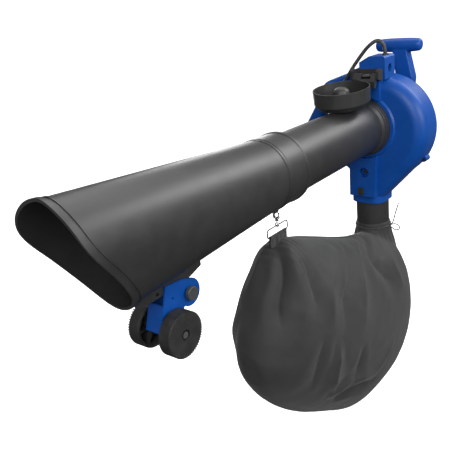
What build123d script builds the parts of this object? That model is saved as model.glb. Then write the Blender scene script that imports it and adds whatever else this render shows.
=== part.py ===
"""Hand-held electric leaf vacuum and mulcher, modelled in millimetres.

Working frame: X runs along the suction tube's axis, from the mouth at -X to the motor at +X, with
X = 0 at the housing's intake face; Z is up and the outlet and bag hang in -Z. The parts are
written with the origin moved to the middle of the assist handle's grip, where the machine is held.
"""
from build123d import *
import os
from math import cos, degrees, hypot, pi, radians, sin, sqrt, tan

# ---- fits ----
RUN = 0.05            # radial clearance of a turning or sliding fit
GAP = 0.3             # clearance between parts that move past each other

# ---- suction tube ----
TUBE_R_SOCKET = 60.0  # upper tube, outer radius at its socket end
TUBE_R_HEAD = 56.0    # upper tube, outer radius at the housing
TUBE_WALL = 2.5
TUBE_SPIGOT = 5.0     # length of upper tube inside the housing's collar
END_RING_R = 63.5     # ribbed ring on the upper tube against the housing
END_RING_LEN = 20.0
GASKET_T = 1.5
SOCKET_X0 = -393.0    # socket of the lower tube
SOCKET_LEN = 60.0
SOCKET_R = 67.3
BODY_R = 65.8         # lower tube's outer radius at the socket
BEAD = 6.0            # width of a raised bead
GROOVE_R = BODY_R + 0.5  # floor of the groove between the socket's two beads
FLARE_X = -880.0      # station of the flared section below
FLARE = [(0, 105.5), (38, 90), (60.5, 67), (71, 34), (69, 1), (62, -32), (52, -63), (31, -87), (0, -98)]
MOUTH_CURVE = [(-856, 135), (-848, 92), (-842, 52), (-808, 0), (-779, -40), (-759, -75), (-754, -125)]
RIM_LEN = 7.0
RIM_RAISE = 2.6

# ---- keel rail, wheel yoke and wheels ----
RAIL_HALF_W = 12.5
PIVOT_X = -627.0
PIVOT_Z = -119.0
BOSS_R = 13.0
PIVOT_R = 6.0
PIVOT_BORE_R = 4.0
PLATE_T = 3.0
PLATE_GAP = 0.5       # yoke plate to rail, each side
LOBE_R = 23.0
BUTTON_R = 11.5
BUTTON_T = 6.5
BUTTON_TRAVEL = 3.0
AXLE_X = -673.0
AXLE_Z = -164.0
AXLE_R = 3.0
EAR_R = 13.0
WHEEL_R = 37.0
WHEEL_W = 22.0
WHEEL_INNER_Y = 22.0
WHEEL_RECESS_R = 8.5
WHEEL_RECESS_D = 5.0

# ---- fan housing ----
VOLUTE_R = 119.4
VOLUTE_Y = -17.7
VOLUTE_Z = -10.2
VOLUTE_X0 = 4.0
VOLUTE_X1 = 94.0
VOLUTE_FILLET = 27.0
SHELL_WALL = 3.0
SPLIT_X = 52.0
COLLAR_R = 69.0
LUG_ANGLES = (30, 213)
OUTLET_X = 43.6
OUTLET_Y = 5.0
NECK_HALF = 39.5
NECK_Z = -180.0
NECK_FILLET = 24.0
PIPE_R = 37.5
PIPE_WALL = 2.5
PIPE_SPIGOT = 15.0
PIPE_BOTTOM_Z = -262.0
BLOCK_X0 = -8.0       # front face of the two blocks above and below the tube
BLOCK_TOP_Z = 127.0
RECESS_R = 11.0
RECESS_Z = -103.0

# ---- motor and rotor ----
CAN_R = 54.0
CAN_X1 = 186.0
CAN_WALL = 3.0
CAP_T = 12.0
IMPELLER_R = 88.0
BLADES = 8
SHAFT_R = 5.0
BEARING_F_R = 13.0
BEARING_R_R = 11.0
ARMATURE_R = 26.0
ARMATURE_X0 = 108.0
ARMATURE_LEN = 42.0
AIR_GAP = 0.8
STATOR_R = 40.0
COMM_R = 14.0

# ---- handles ----
HANDLE_X = 26.0       # split plane of the main handle
HANDLE_W = 34.0
HANDLE_H = 30.0
HANDLE_CORNER = 10.0
HANDLE_WALL = 2.6
GRIP_Y = 146.0
BOX = (0.0, 48.0, -52.0, 7.0, 104.0, 152.0)
EYELET_R = 9.0
EYELET_X = 25.0
EYELET_Z = 125.0
EYELET_LEN = 8.0
TRIGGER_LEN = 28.0
TRIGGER_W = 15.0
TRIGGER_Z = -36.0
TRIGGER_OUT = 8.0
TRIGGER_TRAVEL = 6.0
LOCK_R = 5.0
LOCK_Y = 118.0
LOCK_Z = 33.0
LOCK_TRAVEL = 3.0
DIAL_R = 10.0
DIAL_Y = 72.0
DIAL_Z = 90.0
BAR_X = 120.0
BAR_Y = -30.0
BAR_Z = 160.0
BAR_R = 15.2
BAR_LEN = 105.0

# ---- intake cover ----
CUP_R = 59.0
CUP_X = -91.5
CUP_Y = 2.0
CUP_RIM_Z = 108.0
CUP_H = 40.0
CUP_CHAMFER = 11.0
CUP_WALL = 2.6
CUP_TILT = 5.0        # degrees, free end low
HINGE_X = -24.0
HINGE_Z = 115.0
HINGE_PIN_R = 2.5
BRACKET = (-30.0, BLOCK_X0, -51.0, 13.0, 104.0, 128.0)
CHEEK_T = 6.0

# ---- mains cord ----
CORD_R = 4.0
CORD = [(24, -42, 155), (24, -42, 171), (21, -28, 185), (14, -9, 173), (7, 9, 150), (0, 25, 126),
        (-4, 40, 101), (-7, 54, 73), (-9, 65, 42), (-10, 71, 8), (-10, 72, -24)]

# ---- bag and its hardware ----
BAG_WALL = 1.2
BAG = [(-473, -318, -395, 30), (-453, -265, -428, 54), (-414, -196, -474, 78), (-356, -138, -524, 95),
       (-266, -164, -580, 105), (-178, -198, -628, 108), (-89, -230, -640, 107), (-5, -250, -630, 101),
       (52, -268, -598, 86), (86, -306, -530, 62), (103, -352, -458, 30)]
SLEEVE_TOP_Z = -232.0
SLEEVE_T = 1.2
STRING_R = 1.3
STRING_Z = -243.0
CLIP_X = -356.0
CLIP_Z = -76.0        # centre of the eye under the socket
BOW_R = 5.5
BOW_WIRE_R = 1.5
RING_L = 66.0
RING_H = 17.0
RING_WIRE_R = 1.3
TAB_W = 53.0
TAB_T = 1.5

GRIP_CENTRE = Vector(BAR_X, BAR_Y, BAR_Z)


# ---- shared shapes ----
def turned(points):
    """Solid of revolution about X from (x, radius) corners."""
    return revolve(make_face(Polyline(*points, close=True)), Axis.X)


def block(x0, x1, y0, y1, z0, z1):
    """Box between two corners."""
    return Pos((x0 + x1) / 2, (y0 + y1) / 2, (z0 + z1) / 2) * Box(x1 - x0, y1 - y0, z1 - z0)


def rod_x(y, z, r, x0, x1):
    return Pos((x0 + x1) / 2, y, z) * Rot(0, 90, 0) * Cylinder(r, x1 - x0)


def rod_y(x, z, r, y0, y1):
    return Pos(x, (y0 + y1) / 2, z) * Rot(90, 0, 0) * Cylinder(r, y1 - y0)


def rod_z(x, y, r, z0, z1):
    return Pos(x, y, (z0 + z1) / 2) * Cylinder(r, z1 - z0)


def side_plate(outline, y0, y1):
    """Plate standing in the XZ plane, between two values of Y."""
    face = make_face(Polyline(*[(x, y0, z) for x, z in outline], close=True))
    return extrude(face, y1 - y0, dir=(0, 1, 0))


def end_plate(outline, x0, x1):
    """Plate standing in the YZ plane, between two values of X."""
    face = make_face(Polyline(*[(x0, y, z) for y, z in outline], close=True))
    return extrude(face, x1 - x0, dir=(1, 0, 0))


def wire_along(path, r):
    """Round wire swept along a path."""
    start = Plane(origin=path @ 0, z_dir=path % 0)
    return sweep(start * Circle(r), path=path)


def spring(x, y, z, direction, r, wire_r, length, turns):
    """Coil spring that starts at a point and runs along a direction."""
    coil = Helix(length / turns, length, r)
    body = sweep(Plane(origin=coil @ 0, z_dir=coil % 0) * Circle(wire_r), path=coil)
    return Plane(origin=(x, y, z), z_dir=direction) * body


# ---- suction tube ----
def flare_section(x, raise_by):
    """Closed outline across the lower tube: round at the socket, egg-shaped at the mouth."""
    share = (x - SOCKET_X0) / (FLARE_X - SOCKET_X0)
    half = []
    for y, z in FLARE:
        size = hypot(y, z)
        grow = 1 + raise_by / (BODY_R + share * (size - BODY_R))
        radius = (BODY_R + share * (size - BODY_R)) * grow
        half.append((y / size * radius, z / size * radius))
    loop = half + [(-y, z) for y, z in reversed(half[1:-1])]
    return make_face(Spline([(x, y, z) for y, z in loop], periodic=True))


def flare_solid(raise_by):
    stations = [SOCKET_X0, SOCKET_X0 + 0.4 * (FLARE_X - SOCKET_X0), FLARE_X]
    return loft([flare_section(x, raise_by) for x in stations])


def behind_mouth(start, end):
    """Region between the mouth's cut surface moved by start, and by end, towards the housing."""
    near = Spline([(x + start, -120, z) for x, z in MOUTH_CURVE])
    far = Spline([(x + end, -120, z) for x, z in MOUTH_CURVE])
    rim = near + far + Line(near @ 0, far @ 0) + Line(near @ 1, far @ 1)
    return extrude(make_face(rim), 240, dir=(0, 1, 0))


def lower_tube():
    bore_r = TUBE_R_SOCKET + GAP
    outer = flare_solid(0)
    inner = flare_solid(-TUBE_WALL)
    body = (outer - inner) & behind_mouth(0, 600)
    rim = (flare_solid(RIM_RAISE) - inner) & behind_mouth(0, RIM_LEN)
    band = (flare_solid(RIM_RAISE / 2) - inner) & behind_mouth(2 * RIM_LEN, 2 * RIM_LEN + 3)
    x0 = SOCKET_X0
    x1 = x0 + SOCKET_LEN
    socket = turned([(x0 - BEAD, bore_r - 3), (x0 + BEAD, bore_r - 3), (x0 + BEAD, bore_r), (x1, bore_r),
                     (x1, SOCKET_R), (x1 - BEAD, SOCKET_R), (x1 - BEAD - 1, BODY_R),
                     (x0 + BEAD, BODY_R), (x0 + BEAD - 1, SOCKET_R), (x0 + 2, SOCKET_R), (x0 + 1, GROOVE_R),
                     (x0 - 1, GROOVE_R), (x0 - 2, SOCKET_R), (x0 - BEAD, SOCKET_R), (x0 - BEAD - 1, BODY_R - 1)])
    lug = side_plate([(CLIP_X - 7, -BODY_R + 2), (CLIP_X - 5, CLIP_Z - 5), (CLIP_X + 5, CLIP_Z - 5),
                      (CLIP_X + 7, -BODY_R + 2)], -2, 2)
    lug -= rod_y(CLIP_X, CLIP_Z, BOW_WIRE_R + 1.7, -5, 5)
    stop = block(CLIP_X - 27, CLIP_X - 19, -4, 4, -SOCKET_R - 5, -BODY_R + 1)
    return body + rim + band + socket + lug + stop


def upper_tube():
    slope = (TUBE_R_HEAD - TUBE_R_SOCKET) / -SOCKET_X0
    x0 = SOCKET_X0 + BEAD + GAP
    r0 = TUBE_R_SOCKET
    tube_end = TUBE_SPIGOT
    ring0 = -END_RING_LEN - GASKET_T
    outline = [(x0, r0), (ring0 - 4, TUBE_R_HEAD - slope * ring0)]
    for i in range(3):
        x = ring0 + i * END_RING_LEN / 3
        outline += [(x, END_RING_R - 2.5 + i), (x + 4.6, END_RING_R - 2.5 + i), (x + 5.2, END_RING_R - 5)]
    outline += [(-GASKET_T - 1, END_RING_R - 5), (-GASKET_T, END_RING_R), (-GASKET_T, TUBE_R_HEAD)]
    outline += [(tube_end, TUBE_R_HEAD), (tube_end, TUBE_R_HEAD - TUBE_WALL), (x0, r0 - TUBE_WALL)]
    return turned(outline)


def intake_gasket():
    return turned([(-GASKET_T, TUBE_R_HEAD), (0, TUBE_R_HEAD), (0, END_RING_R - 2), (-GASKET_T, END_RING_R - 2)])


# ---- keel rail, yoke and wheels ----
def keel_rail():
    rail = side_plate([(-588, -60), (-588, -89), (-614, -97), (-640, -101.5), (-722, -102.5), (-732, -97),
                       (-732, -60)], -RAIL_HALF_W, RAIL_HALF_W)
    rail += rod_y(PIVOT_X, PIVOT_Z, BOSS_R, -RAIL_HALF_W, RAIL_HALF_W)
    rail -= flare_solid(0.02)
    rail -= rod_y(PIVOT_X, PIVOT_Z, PIVOT_R, -20, 20)
    return rail - rod_y(-689, -95.5, 3, -20, 20)


def yoke_plate(y0, y1):
    outline = [(-675, -89), (-640, -91.5), (-622, -97.5), (-603, -112), (-606, -132), (-640, -138),
               (AXLE_X + EAR_R, AXLE_Z), (AXLE_X, AXLE_Z - EAR_R + 3), (-698, -158), (-682, -114)]
    plate = side_plate(outline, y0, y1)
    plate += rod_y(PIVOT_X + 3, PIVOT_Z - 1, LOBE_R, y0, y1)
    plate += rod_y(AXLE_X, AXLE_Z, EAR_R, y0, y1)
    for x, z in ((-613 + 2, -117), (-663, -113)):
        plate -= rod_y(x, z, 2.2, y0, y1)
    return plate


def wheel_yoke():
    inner = RAIL_HALF_W + PLATE_GAP
    outer = inner + PLATE_T
    yoke = yoke_plate(-outer, -inner) + yoke_plate(inner, outer)
    yoke += side_plate([(-684, -118), (-698, -158), (-695, -158), (-681, -118)], -outer, outer)
    yoke -= rod_y(PIVOT_X, PIVOT_Z, PIVOT_R + RUN, -40, 40)
    return yoke - rod_y(AXLE_X, AXLE_Z, AXLE_R, -40, 40)


def pivot_pin():
    outer = RAIL_HALF_W + PLATE_GAP + PLATE_T + GAP
    pin = rod_y(PIVOT_X, PIVOT_Z, PIVOT_R, -outer, outer + 3)
    pin += rod_y(PIVOT_X, PIVOT_Z, PIVOT_R + 4, outer, outer + 3)
    return pin - rod_y(PIVOT_X, PIVOT_Z, PIVOT_BORE_R, -outer - 1, RAIL_HALF_W)


def yoke_lock_button():
    face = RAIL_HALF_W + PLATE_GAP + PLATE_T + GAP + BUTTON_TRAVEL + GAP
    cap = rod_y(PIVOT_X, PIVOT_Z, BUTTON_R, -face - BUTTON_T, -face)
    cap = fillet(cap.edges().group_by(Axis.Y)[0], 1.5)
    return cap + rod_y(PIVOT_X, PIVOT_Z, PIVOT_BORE_R - RUN, -face - 1, -4)


def lock_button_spring():
    return spring(PIVOT_X, -3.4, PIVOT_Z, (0, 1, 0), 2.6, 0.5, RAIL_HALF_W + 2.9, 6)


def axle():
    end = WHEEL_INNER_Y + WHEEL_W - WHEEL_RECESS_D + 2
    return rod_y(AXLE_X, AXLE_Z, AXLE_R, -end, end)


def axle_caps():
    seat = WHEEL_INNER_Y + WHEEL_W - WHEEL_RECESS_D + GAP
    caps = []
    for side in (-1, 1):
        y0, y1 = sorted((side * seat, side * (seat + 4)))
        cap = rod_y(AXLE_X, AXLE_Z, 5.5, y0, y1)
        caps.append((cap - rod_y(AXLE_X, AXLE_Z, AXLE_R, *sorted((0, side * (seat + 1.7))))).solid())
    return Compound(caps)


def wheel(side):
    hub0 = RAIL_HALF_W + PLATE_GAP + PLATE_T + GAP
    y0 = WHEEL_INNER_Y
    y1 = y0 + WHEEL_W
    bore = AXLE_R + RUN
    body = turned([(hub0, bore), (hub0, 9), (y0 + 3, 9), (y0 + WHEEL_W - 5, 9), (y0 + WHEEL_W - 5, WHEEL_R - 5),
                   (y0, WHEEL_R - 5), (y0, WHEEL_R - 1.5), (y0 + 1.5, WHEEL_R), (y1 - 2, WHEEL_R),
                   (y1, WHEEL_R - 2), (y1, WHEEL_RECESS_R), (y1 - WHEEL_RECESS_D, WHEEL_RECESS_R),
                   (y1 - WHEEL_RECESS_D, bore)])
    spokes = [Rot(60 * i, 0, 0) * block(y0 + 2, y1 - 4, 8, WHEEL_R - 4, -1.2, 1.2) for i in range(6)]
    body = body + spokes
    return Pos(AXLE_X, 0, AXLE_Z) * Rot(0, 0, 90 * side) * body


# ---- fan housing ----
def volute_solid(shrink):
    """Fan housing's body, with every face moved in by shrink."""
    depth = VOLUTE_X1 - VOLUTE_X0 - 2 * shrink
    disc = rod_x(VOLUTE_Y, VOLUTE_Z, VOLUTE_R - shrink, VOLUTE_X0 + shrink, VOLUTE_X0 + shrink + depth)
    disc = fillet(disc.edges().filter_by(GeomType.CIRCLE), VOLUTE_FILLET - shrink)
    y0 = OUTLET_Y - NECK_HALF + shrink
    y1 = OUTLET_Y + NECK_HALF - shrink
    x0 = OUTLET_X - NECK_HALF + shrink
    x1 = OUTLET_X + NECK_HALF - shrink
    bottom = NECK_Z + shrink
    start = VOLUTE_Y - (VOLUTE_R - shrink) * 0.79
    start_z = VOLUTE_Z - (VOLUTE_R - shrink) * sqrt(1 - 0.79 ** 2)
    sweep_in = ThreePointArc((x0, start, start_z), (x0, -70 + 0.8 * shrink, -128 + 0.6 * shrink), (x0, y0, -166))
    sides = Polyline((x0, y0, -166), (x0, y0, bottom), (x0, y1, bottom), (x0, y1, -60), (x0, start, start_z))
    neck = extrude(make_face(sweep_in + sides), x1 - x0, dir=(1, 0, 0))
    uprights = [e for e in neck.edges() if abs(e.center().X - (x0 + x1) / 2) > NECK_HALF - shrink - 1
                and e.center().Z > bottom + 1 and e.center().Z < -75]
    neck = fillet(uprights, NECK_FILLET - shrink)
    return disc + neck


def fan_shell():
    shell = volute_solid(0) - volute_solid(SHELL_WALL)
    shell -= rod_z(OUTLET_X, OUTLET_Y, PIPE_R - 1.5, NECK_Z - 5, NECK_Z + SHELL_WALL + 3)
    for a in LUG_ANGLES:
        place = Pos(0, VOLUTE_Y, VOLUTE_Z) * Rot(a, 0, 0)
        shell += place * rod_x(VOLUTE_R + 1, 0, 7, SPLIT_X - 8, SPLIT_X + 12) - volute_solid(1)
        shell -= place * rod_x(VOLUTE_R + 3.5, 0, 2, SPLIT_X - 20, SPLIT_X + 20)
    return shell


def front_shell(shell):
    half = shell & block(-50, SPLIT_X, -200, 200, -300, 200)
    half += turned([(0, TUBE_R_HEAD), (0, COLLAR_R), (VOLUTE_X0 + 1, COLLAR_R + 4), (VOLUTE_X0 + 4, TUBE_R_HEAD)])
    top = block(BLOCK_X0, VOLUTE_X0 + 26, -42, 18, 60, BOX[4] - GAP) + block(BLOCK_X0, BOX[0], -42, 18, 60, BLOCK_TOP_Z)
    low = end_plate([(34, -50), (36, -160), (-26, -160), (-32, -50)], BLOCK_X0, VOLUTE_X0 + 22)
    low -= rod_x(-1, RECESS_Z, RECESS_R, BLOCK_X0 - 1, VOLUTE_X0)
    low -= block(BLOCK_X0 - 1, BLOCK_X0 + 6, 0, 14, -157, -139)
    for part in (top, low):
        part -= turned([(-60, 0), (-60, COLLAR_R + 1), (VOLUTE_X0 + 1, COLLAR_R + 1), (VOLUTE_X0 + 1, 0)])
        half += part - volute_solid(0.5)
    return half - turned([(-60, 0), (-60, TUBE_R_HEAD), (30, TUBE_R_HEAD), (30, 0)])


def rear_shell(shell):
    half = shell & block(SPLIT_X, 140, -200, 200, -300, 200)
    half -= rod_x(0, 0, CAN_R - CAN_WALL - 6, 70, 120)
    half += turned([(VOLUTE_X1, CAN_R - CAN_WALL), (VOLUTE_X1, CAN_R), (CAN_X1, CAN_R), (CAN_X1, CAN_R - CAN_WALL)])
    ribs = [Rot(90 * i + 45, 0, 0) * block(ARMATURE_X0, CAN_X1 - 1, STATOR_R, CAN_R - CAN_WALL + 0.5, -4, 4)
            for i in range(4)]
    return half + ribs


def outlet_pipe():
    pipe = rod_z(OUTLET_X, OUTLET_Y, PIPE_R, PIPE_BOTTOM_Z, NECK_Z)
    pipe += rod_z(OUTLET_X, OUTLET_Y, PIPE_R - 1.5, NECK_Z - 1, NECK_Z + PIPE_SPIGOT)
    return pipe - rod_z(OUTLET_X, OUTLET_Y, PIPE_R - PIPE_WALL - 1.5, PIPE_BOTTOM_Z - 1, NECK_Z + 30)


def outlet_latch():
    """Push tab that frees whatever is plugged into the outlet."""
    tab = block(BLOCK_X0 - 3.5, BLOCK_X0 + 1.5, GAP, 14 - GAP, -157 + GAP, -139 - GAP)
    tab = fillet(tab.edges().group_by(Axis.X)[0], 1.5)
    return tab + rod_x(7, -148, 2.5, BLOCK_X0 + 1, BLOCK_X0 + 3)


def latch_spring():
    return spring(BLOCK_X0 + 2.2, 7, -148, (1, 0, 0), 3.6, 0.5, 3.2, 3)


def recess_screw():
    seat = VOLUTE_X0
    slot = block(seat - 4, seat - 2, -7, 5, RECESS_Z - 0.6, RECESS_Z + 0.6)
    return rod_x(-1, RECESS_Z, 5, seat - 3, seat) - slot


def seam_screws():
    screws = []
    head = SPLIT_X - 8
    for a in LUG_ANGLES:
        place = Pos(0, VOLUTE_Y, VOLUTE_Z) * Rot(a, 0, 0)
        screw = rod_x(VOLUTE_R + 3.5, 0, 2, head, SPLIT_X + 12) + rod_x(VOLUTE_R + 3.5, 0, 3.3, head - 3, head)
        screws.append((place * screw).solid())
    return Compound(screws)


# ---- motor ----
def back_plate():
    x0 = VOLUTE_X1
    edge = CAN_R - CAN_WALL
    return turned([(x0, BEARING_F_R - 4), (x0 + 1.5, BEARING_F_R - 4), (x0 + 1.5, BEARING_F_R),
                   (x0 + 10, BEARING_F_R), (x0 + 10, BEARING_F_R + 4), (x0 + 3, BEARING_F_R + 6), (x0 + 3, edge),
                   (x0, edge)])


def front_bearing():
    x0 = VOLUTE_X1 + 1.5
    return turned([(x0, SHAFT_R + RUN), (x0 + 8, SHAFT_R + RUN), (x0 + 8, BEARING_F_R), (x0, BEARING_F_R)])


def rear_bearing():
    x1 = CAN_X1
    return turned([(x1 - 7, SHAFT_R + RUN), (x1, SHAFT_R + RUN), (x1, BEARING_R_R), (x1 - 7, BEARING_R_R)])


def motor_cover():
    x0 = CAN_X1
    x1 = x0 + CAP_T
    inner = CAN_R - CAN_WALL
    cap = turned([(x0, BEARING_R_R + 3), (x0 - 7, BEARING_R_R + 3), (x0 - 7, BEARING_R_R), (x0, BEARING_R_R),
                  (x0, 0), (x1, 0), (x1, CAN_R - 8), (x1 - 6, CAN_R), (x0, CAN_R), (x0, inner), (x1 - 6, inner - 3),
                  (x1 - 3, inner - 8), (x1 - 3, BEARING_R_R + 3)])
    slots = [Rot(30 * i, 0, 0) * block(x1 - 5, x1 + 1, 22, 38, -2.5, 2.5) for i in range(12) if i % 3 != 1]
    cap -= slots
    for i in range(4):
        cap -= Rot(90 * i + 45, 0, 0) * rod_x(CAN_R - CAN_WALL - 5, 0, 1.5, x0 - 5, x1 + 5)
    return cap


def cover_screws():
    x1 = CAN_X1 + CAP_T
    screws = []
    for i in range(4):
        screw = rod_x(CAN_R - CAN_WALL - 5, 0, 1.5, CAN_X1, x1) + rod_x(CAN_R - CAN_WALL - 5, 0, 3, x1, x1 + 2)
        screws.append((Rot(90 * i + 45, 0, 0) * screw).solid())
    return Compound(screws)


def stator():
    return turned([(ARMATURE_X0, ARMATURE_R + AIR_GAP), (ARMATURE_X0 + ARMATURE_LEN, ARMATURE_R + AIR_GAP),
                   (ARMATURE_X0 + ARMATURE_LEN, STATOR_R), (ARMATURE_X0, STATOR_R)])


def armature():
    return turned([(ARMATURE_X0, SHAFT_R), (ARMATURE_X0 + ARMATURE_LEN, SHAFT_R),
                   (ARMATURE_X0 + ARMATURE_LEN, ARMATURE_R), (ARMATURE_X0, ARMATURE_R)])


def commutator():
    x0 = ARMATURE_X0 + ARMATURE_LEN + 2
    return turned([(x0, SHAFT_R), (x0 + 12, SHAFT_R), (x0 + 12, COMM_R), (x0, COMM_R)])


def brush_holders():
    x0 = ARMATURE_X0 + ARMATURE_LEN + 3
    tube = block(x0, x0 + 10, COMM_R + 2, CAN_R - CAN_WALL - 0.5, -5, 5) - block(x0 + 2, x0 + 8, COMM_R, COMM_R + 20, -3, 3)
    return Compound([tube.solid(), (Rot(180, 0, 0) * tube).solid()])


def brushes():
    x0 = ARMATURE_X0 + ARMATURE_LEN + 5
    brush = block(x0, x0 + 6, COMM_R + GAP, COMM_R + 18, -3, 3)
    return Compound([brush.solid(), (Rot(180, 0, 0) * brush).solid()])


def rotor_shaft():
    return turned([(22, 0), (22, SHAFT_R - 1), (23, SHAFT_R), (CAN_X1 - 0.5, SHAFT_R), (CAN_X1 - 0.5, 0)])


def cooling_fan():
    x0 = ARMATURE_X0 + ARMATURE_LEN + 16
    hub = turned([(x0, SHAFT_R), (x0 + 9, SHAFT_R), (x0 + 9, 11), (x0 + 2, 11), (x0 + 2, 36), (x0, 36)])
    return hub + [Rot(36 * i, 0, 0) * block(x0 + 1, x0 + 8, 10, 35, -1, 1) for i in range(10)]


def impeller():
    hub = turned([(32, SHAFT_R), (84, SHAFT_R), (84, 12), (76, 16), (76, IMPELLER_R), (73, IMPELLER_R), (66, 24),
                  (36, 14), (32, 12)])
    vane = block(40, 74, 10, IMPELLER_R - 1, 3, 6)
    return hub + [Rot(360 / BLADES * i, 0, 0) * vane for i in range(BLADES)]


def impeller_nut():
    nut = Pos(24, 0, 0) * Rot(0, 90, 0) * extrude(RegularPolygon(9.8, 6), 8)
    return nut - rod_x(0, 0, SHAFT_R, 20, 40)


# ---- main handle ----
def handle_path():
    points = [(-12, 124), (40, 101), (97, 82), (112, 42), (GRIP_Y, -12), (GRIP_Y, -60), (GRIP_Y - 22, -78), (70, -78)]
    return FilletPolyline([(HANDLE_X, y, z) for y, z in points], radius=[90, 28, 40, 28, 20, 20])


def handle_solid(shrink):
    path = handle_path()
    start = Plane(origin=path @ 0, x_dir=(1, 0, 0), z_dir=path % 0)
    section = RectangleRounded(HANDLE_W - 2 * shrink, HANDLE_H - 2 * shrink, HANDLE_CORNER - shrink)
    bar = sweep(start * section, path=path)
    x0, x1, y0, y1, z0, z1 = BOX
    outline = [(y0 + shrink, z0 + shrink), (y0 + shrink, z1 - 4), (y0 + 4, z1 - shrink), (y1 - 22, z1 - shrink),
               (y1 - shrink, z1 - 12), (y1 - shrink, z0 + shrink)]
    return bar + end_plate(outline, x0 + shrink, x1 - shrink)


def handle_halves():
    hollow = handle_solid(0) - handle_solid(HANDLE_WALL)
    x0, x1, y0, y1, z0, z1 = BOX
    hollow += rod_y(EYELET_X, EYELET_Z, EYELET_R + 3, y0, y0 + EYELET_LEN) & block(x0, x1, y0, y1, z0, z1)
    hollow -= rod_y(EYELET_X, EYELET_Z, EYELET_R, y0 - 1, y0 + EYELET_LEN + 1)
    hollow -= rod_z(CORD[0][0], CORD[0][1], CORD_R + 2, z1 - 6, z1 + 5)
    inner_y = GRIP_Y - HANDLE_H / 2
    hollow -= block(HANDLE_X - TRIGGER_W / 2 - GAP, HANDLE_X + TRIGGER_W / 2 + GAP, inner_y - 5, inner_y + 5,
                    TRIGGER_Z - TRIGGER_LEN / 2 - GAP, TRIGGER_Z + TRIGGER_LEN / 2 + GAP)
    hollow -= rod_x(LOCK_Y, LOCK_Z, LOCK_R + RUN, HANDLE_X + 5, HANDLE_X + 30)
    hollow -= rod_x(DIAL_Y, DIAL_Z, DIAL_R - 3 + RUN, HANDLE_X + 5, HANDLE_X + 30)
    hollow -= volute_solid(0)
    hollow -= block(BLOCK_X0, BOX[0], -42, 18, 60, BLOCK_TOP_Z)
    hollow -= block(BLOCK_X0, VOLUTE_X0 + 26, -42, 18, 60, z0)
    rear_side = block(HANDLE_X, 80, y1, 200, -120, 200)
    return hollow - rear_side, hollow & rear_side


def trigger():
    inner_y = GRIP_Y - HANDLE_H / 2
    x0 = HANDLE_X - TRIGGER_W / 2
    x1 = HANDLE_X + TRIGGER_W / 2
    z0 = TRIGGER_Z - TRIGGER_LEN / 2
    z1 = TRIGGER_Z + TRIGGER_LEN / 2
    body = block(x0, x1, inner_y - TRIGGER_OUT, inner_y + 8, z0, z1)
    body = fillet(body.edges().group_by(Axis.Y)[0], 3)
    return body + block(x0 - 1.5, x1 + 1.5, inner_y + HANDLE_WALL + GAP, inner_y + 8, z0, z1)


def trigger_spring():
    y0 = GRIP_Y - HANDLE_H / 2 + 8.7
    return spring(HANDLE_X, y0, TRIGGER_Z, (0, 1, 0), 4, 0.6, 6.4, 4)


def switch_body():
    y1 = GRIP_Y + HANDLE_H / 2 - HANDLE_WALL
    return block(HANDLE_X - 7, HANDLE_X + 7, y1 - 9, y1, TRIGGER_Z - 14, TRIGGER_Z + 12)


def lock_on_button():
    side = HANDLE_X + HANDLE_W / 2
    button = rod_x(LOCK_Y, LOCK_Z, LOCK_R, side - 8, side + LOCK_TRAVEL + 1)
    return button + rod_x(LOCK_Y, LOCK_Z, LOCK_R + 0.9, side - 8, side - HANDLE_WALL - GAP)


def lock_on_spring():
    side = HANDLE_X + HANDLE_W / 2
    return spring(side - 15, LOCK_Y, LOCK_Z, (1, 0, 0), 3.5, 0.5, 6.3, 4)


def speed_dial():
    side = HANDLE_X + HANDLE_W / 2
    dial = rod_x(DIAL_Y, DIAL_Z, DIAL_R, side + GAP, side + 4.5) + rod_x(DIAL_Y, DIAL_Z, DIAL_R - 3, side - 7, side + GAP)
    return dial - [Pos(0, DIAL_Y, DIAL_Z) * Rot(30 * i, 0, 0) * rod_x(DIAL_R, 0, 1.2, side, side + 6) for i in range(12)]


def assist_handle():
    bar = rod_y(BAR_X, BAR_Z, BAR_R, BAR_Y - BAR_LEN / 2, BAR_Y + BAR_LEN / 2)
    bar = fillet(bar.edges().filter_by(GeomType.CIRCLE), 7)
    stem = end_plate([(-20, 155), (-52, 155), (-54, 140), (-66, 90), (-60, 20), (-10, 20), (-27, 92), (-19, 140)],
                     BAR_X - 13, BAR_X + 13)
    return bar + (stem - rod_x(0, 0, CAN_R, 80, 180))


# ---- intake cover ----
def cover_place():
    """Moves the cover from its own axis, rim up, to where it lies open on the tube."""
    return Pos(HINGE_X, 0, HINGE_Z) * Rot(0, -CUP_TILT, 0) * Pos(-HINGE_X, 0, -HINGE_Z)


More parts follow.
